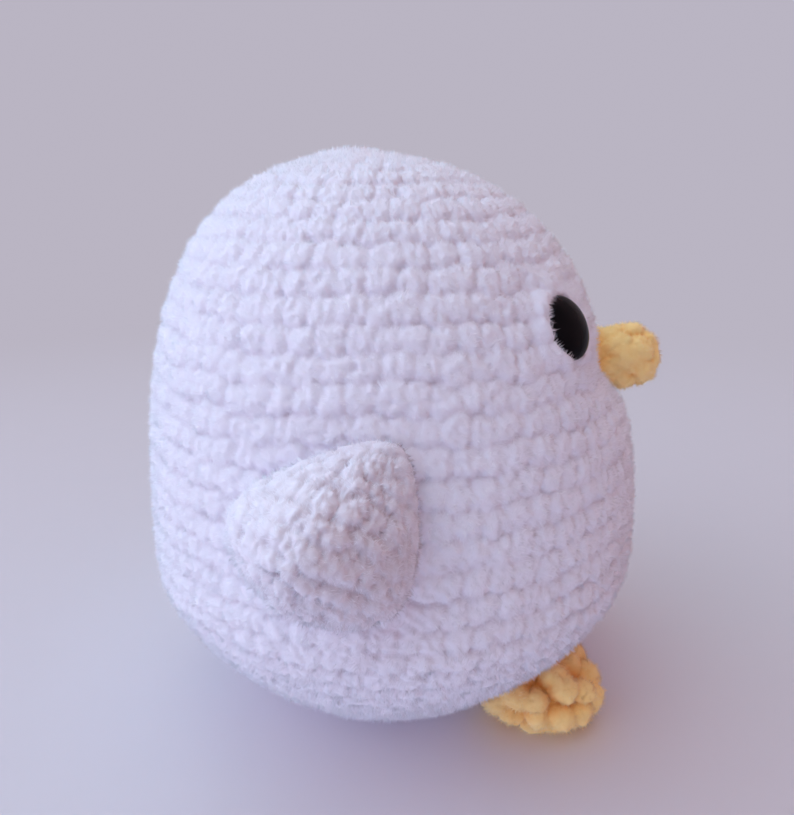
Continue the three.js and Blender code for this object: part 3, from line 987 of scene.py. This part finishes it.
def make_eye(side):
    """A domed eye with a thin rim, on a ribbed post."""
    radius = EYE_DIAMETER / 2
    pitch = (POST_LENGTH - POST_PLAIN) / POST_RIDGES
    outline = [(0, -POST_LENGTH)]
    for n in range(POST_RIDGES):
        low = n * pitch - POST_LENGTH
        outline += [(POST_RADIUS, low), (POST_RADIUS + POST_RIDGE, low + pitch / 2)]
    outline += [(POST_RADIUS, -POST_PLAIN), (POST_RADIUS, 0)]
    outline += [(radius - EYE_BACK_ROUND, 0), (radius, EYE_BACK_RISE)]
    dome = np.linspace(0, np.pi / 2, EYE_DOME_STEPS)
    outline += [(radius * math.cos(t), EYE_RIM + EYE_DOME * math.sin(t)) for t in dome]
    widths, heights = np.array(outline).T[..., None]
    turn = whole_turn(EYE_FACETS)
    points = np.stack([widths * np.cos(turn), widths * np.sin(turn), heights + 0 * turn], -1)
    mesh = closed_grid(f"eye_{side}_dome", mapped(points, EYES[side]), np.ones(points.shape[:2]))
    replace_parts(new_object(mesh, EYE, "eye_plastic", "body"), f"eye_{side}")


def make_filling():
    """The fibre filling inside the cover, lumpy where it is packed in by hand."""
    share, turn = np.meshgrid(np.linspace(0, 1, FILLING_ROWS), whole_turn(FILLING_COLUMNS), indexing="ij")
    points = body_shape(share, turn)
    lumps = value_noise(points, FILLING_LUMP, FILLING_SEED)
    points = points - grid_normals(points) * (FILLING_INSET + FILLING_UNEVEN * lumps)[..., None]
    # Painted shade: the sunken lumps of the filling are coloured darker
    mesh = closed_grid("body_filling", points, np.clip(0.7 + 0.3 * lumps, 0, 1))
    made = new_object(mesh, FILLING, "filling", "body")
    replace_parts(made, "body_stuffing")


def make_yarn(node, path, radius, material, slot):
    """A length of two-ply yarn along a path, in place of a node."""
    along = np.linspace(0, 1, len(path))
    length = np.linalg.norm(np.diff(path, axis=0), axis=1).sum()
    way = unit(np.gradient(path, axis=0))
    side = unit(np.cross(way, ODD_WAY))
    other = np.cross(way, side)
    turn = whole_turn(YARN_FACETS)
    twist = np.cos(2 * (turn - TURN * along[:, None] * length / PLY_TWIST))
    plies = 1 - PLY_RELIEF + PLY_RELIEF * twist
    ends = np.sqrt(np.clip(np.minimum(along, 1 - along) * length / radius, 0, 1))
    ring = side[:, None] * np.cos(turn)[:, None] + other[:, None] * np.sin(turn)[:, None]
    points = path[:, None] + ring * (radius * plies * ends[:, None])[..., None]
    mesh = closed_grid(f"{node}_yarn", points, np.clip(PLY_SHADE * (1 + twist), 0, 1))
    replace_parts(new_object(mesh, material, slot, "body"), node)


def seam_ring(angle, height):
    """An open ring on the cover, where a small piece is sewn on."""
    turns = np.radians(np.linspace(SEAM_OPENING / 2, 360 - SEAM_OPENING / 2, SEAM_RING_POINTS))
    lift = SEAM_YARN / 2 + GAP
    path = []
    for turn in turns:
        z = height + SEAM_RING * math.sin(turn)
        swept = angle + math.degrees(SEAM_RING * math.cos(turn) / float(half_width(height)))
        path.append(cover_point(swept, z) + cover_normal(swept, z) * lift)
    return np.array(path)


def make_seams():
    """The yarn that sews on the beak, feet and wings, and the tail that closes the body."""
    make_yarn("beak_seam", seam_ring(0, BEAK_HEIGHT), SEAM_YARN / 2, YELLOW, "yellow_yarn")
    foot_height = FOOT_HEIGHT / 2 + FOOT_SEAM_RISE
    foot_angle = math.degrees(math.atan2(FOOT_SPREAD, FOOT_FORWARD + float(middle(foot_height))))
    bar_low, bar_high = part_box("wing_seam_right")
    bar_middle = (bar_low + bar_high) / 2
    bar = np.tile((bar_middle.x + WING_SEAM_INSET, 0, bar_middle.z), (SEAM_BAR_POINTS, 1))
    bar[:, 1] = np.linspace(bar_low.y, bar_high.y, SEAM_BAR_POINTS)
    for side, flip in (("right", 1), ("left", -1)):
        foot_ring = seam_ring(foot_angle, foot_height) * (flip, 1, 1)
        make_yarn(f"foot_seam_{side}", foot_ring, SEAM_YARN / 2, YELLOW, "yellow_yarn")
        make_yarn(f"wing_seam_{side}", bar * (flip, 1, 1), SEAM_YARN / 2, WHITE, "white_yarn")
    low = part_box("closing_yarn")[0].z
    rise = np.linspace(0, 1, CLOSING_POINTS)
    sway = CLOSING_SWAY * np.stack([np.sin(np.pi * rise), rise**2], -1)
    tail = np.concatenate([sway, (low + CLOSING_TAIL * rise)[:, None]], 1)
    make_yarn("closing_yarn", tail, CLOSING_YARN / 2, WHITE, "white_yarn")


def dress_washers():
    for side in ("right", "left"):
        node = frame["nodes"][f"eye_washer_{side}"]
        node.data.materials.clear()
        node.data.materials.append(WASHER)


def combined(tree, operation, first, second):
    """One value worked out from two."""
    node = tree.nodes.new("ShaderNodeMath")
    node.operation = operation
    tree.links.new(first, node.inputs[0])
    tree.links.new(second, node.inputs[1])
    return node.outputs[0]


def show_blended(tree, output, share, first, second):
    """Shows one shader that goes over into another by a share."""
    node = tree.nodes.new("ShaderNodeMixShader")
    for socket, value in zip(node.inputs, (share, first, second)):
        tree.links.new(value, socket)
    tree.links.new(node.outputs[0], tree.nodes[output].inputs["Surface"])


def make_floor():
    """A pale floor that fades into the backdrop with distance, for the camera only."""
    mesh = bpy.data.meshes.new("floor")
    corners = [(x * FLOOR_REACH, y * FLOOR_REACH, 0) for x, y in ((-1, -1), (1, -1), (1, 1), (-1, 1))]
    mesh.from_pydata(corners, [], [(0, 1, 2, 3)])
    made, shader, place = new_material("floor")
    tree = made.node_tree
    speck = (*(FLOOR_SPECK * c for c in FLOOR[:3]), 1)
    colour = mixed_colour(made, noise(made, place, FLOOR_GRAIN, 4.0), speck, FLOOR)
    tree.links.new(colour, shader.inputs["Base Color"])
    shader.inputs["Roughness"].default_value = 0.6
    away = linked(made, "ShaderNodeVectorMath", Vector=place)
    away.operation = "LENGTH"
    low, high = FLOOR_FADE
    far = linked(made, "ShaderNodeMapRange", Value=away.outputs["Value"], From_Min=low, From_Max=high)
    far.interpolation_type = "SMOOTHSTEP"
    camera_ray = linked(made, "ShaderNodeLightPath").outputs["Is Camera Ray"]
    share = combined(tree, "MULTIPLY", far.outputs["Result"], camera_ray)
    backdrop = linked(made, "ShaderNodeEmission", Color=BACKDROP)
    show_blended(tree, "Material Output", share, shader.outputs[0], backdrop.outputs[0])
    mesh.materials.append(made)
    floor = bpy.data.objects.new("floor", mesh)
    bpy.context.scene.collection.objects.link(floor)
    floor.visible_shadow = False


def make_world():
    """Faint light from all round, behind a plain backdrop."""
    world = bpy.data.worlds.new("studio")
    bpy.context.scene.world = world
    world.use_nodes = True
    tree = world.node_tree
    ambient = tree.nodes["Background"]
    ambient.inputs["Color"].default_value = AMBIENT
    ambient.inputs["Strength"].default_value = AMBIENT_STRENGTH
    seen = tree.nodes.new("ShaderNodeBackground")
    seen.inputs["Color"].default_value = BACKDROP
    path = tree.nodes.new("ShaderNodeLightPath")
    share = path.outputs["Is Camera Ray"]
    for name in ("Is Glossy Ray", "Is Transmission Ray"):
        share = combined(tree, "MAXIMUM", share, path.outputs[name])
    show_blended(tree, "World Output", share, ambient.outputs[0], seen.outputs[0])


def make_lamp(name, place, size, power, colour):
    """A round soft lamp that points at the middle of the body."""
    lamp = bpy.data.lights.new(name, "AREA")
    lamp.shape = "DISK"
    lamp.size = size
    lamp.energy = power
    lamp.color = colour
    made = bpy.data.objects.new(name, lamp)
    made.location = place
    aim = Vector((0, 0, BODY_HEIGHT / 2)) - Vector(place)
    made.rotation_euler = aim.to_track_quat("-Z", "Y").to_euler()
    bpy.context.scene.collection.objects.link(made)


def make_sky(name, place, angle, power, colour):
    """Soft light from a wide cone, centred on the way to a place."""
    lamp = bpy.data.lights.new(name, "SUN")
    lamp.angle = math.radians(angle)
    lamp.energy = power
    lamp.color = colour
    lamp.cycles.use_multiple_importance_sampling = False
    made = bpy.data.objects.new(name, lamp)
    made.rotation_euler = (-Vector(place)).to_track_quat("-Z", "Y").to_euler()
    bpy.context.scene.collection.objects.link(made)


def make_camera():
    data = bpy.data.cameras.new("camera")
    data.sensor_width = SENSOR
    data.lens = FOCAL_PIXELS / IMAGE_LONG_SIDE * SENSOR
    data.clip_start = 10 * MM
    flat = Vector((-math.sin(CAMERA_HEADING), math.cos(CAMERA_HEADING), 0))
    forward = flat * math.cos(CAMERA_PITCH) - Vector((0, 0, 1)) * math.sin(CAMERA_PITCH)
    made = bpy.data.objects.new("camera", data)
    made.location = CAMERA_PLACE
    made.rotation_euler = forward.to_track_quat("-Z", "Y").to_euler()
    bpy.context.scene.collection.objects.link(made)
    bpy.context.scene.camera = made


make_camera()
make_body()
for side, flip, seed in (("right", 1, 31), ("left", -1, 32)):
    make_wing(side, flip, seed)
    make_foot(side, flip, seed + FOOT_SEED)
    make_eye(side)
make_beak()
make_filling()
make_seams()
dress_washers()
make_floor()
make_world()
make_lamp("key", (-0.3, 0.95, 0.5), size=1.5, power=4.0, colour=(1.0, 0.6, 0.78))
make_sky("window", (0, 0.6, 1), angle=100, power=3.05, colour=(0.58, 0.85, 1.0))
make_sky("room", (0, -0.8, 1), angle=120, power=1.0, colour=(1.0, 0.45, 0.38))
make_sky("table", (0, 0.2, -1), angle=160, power=1.4, colour=(0.64, 0.74, 1.0))
bpy.context.scene.view_settings.view_transform = "Standard"
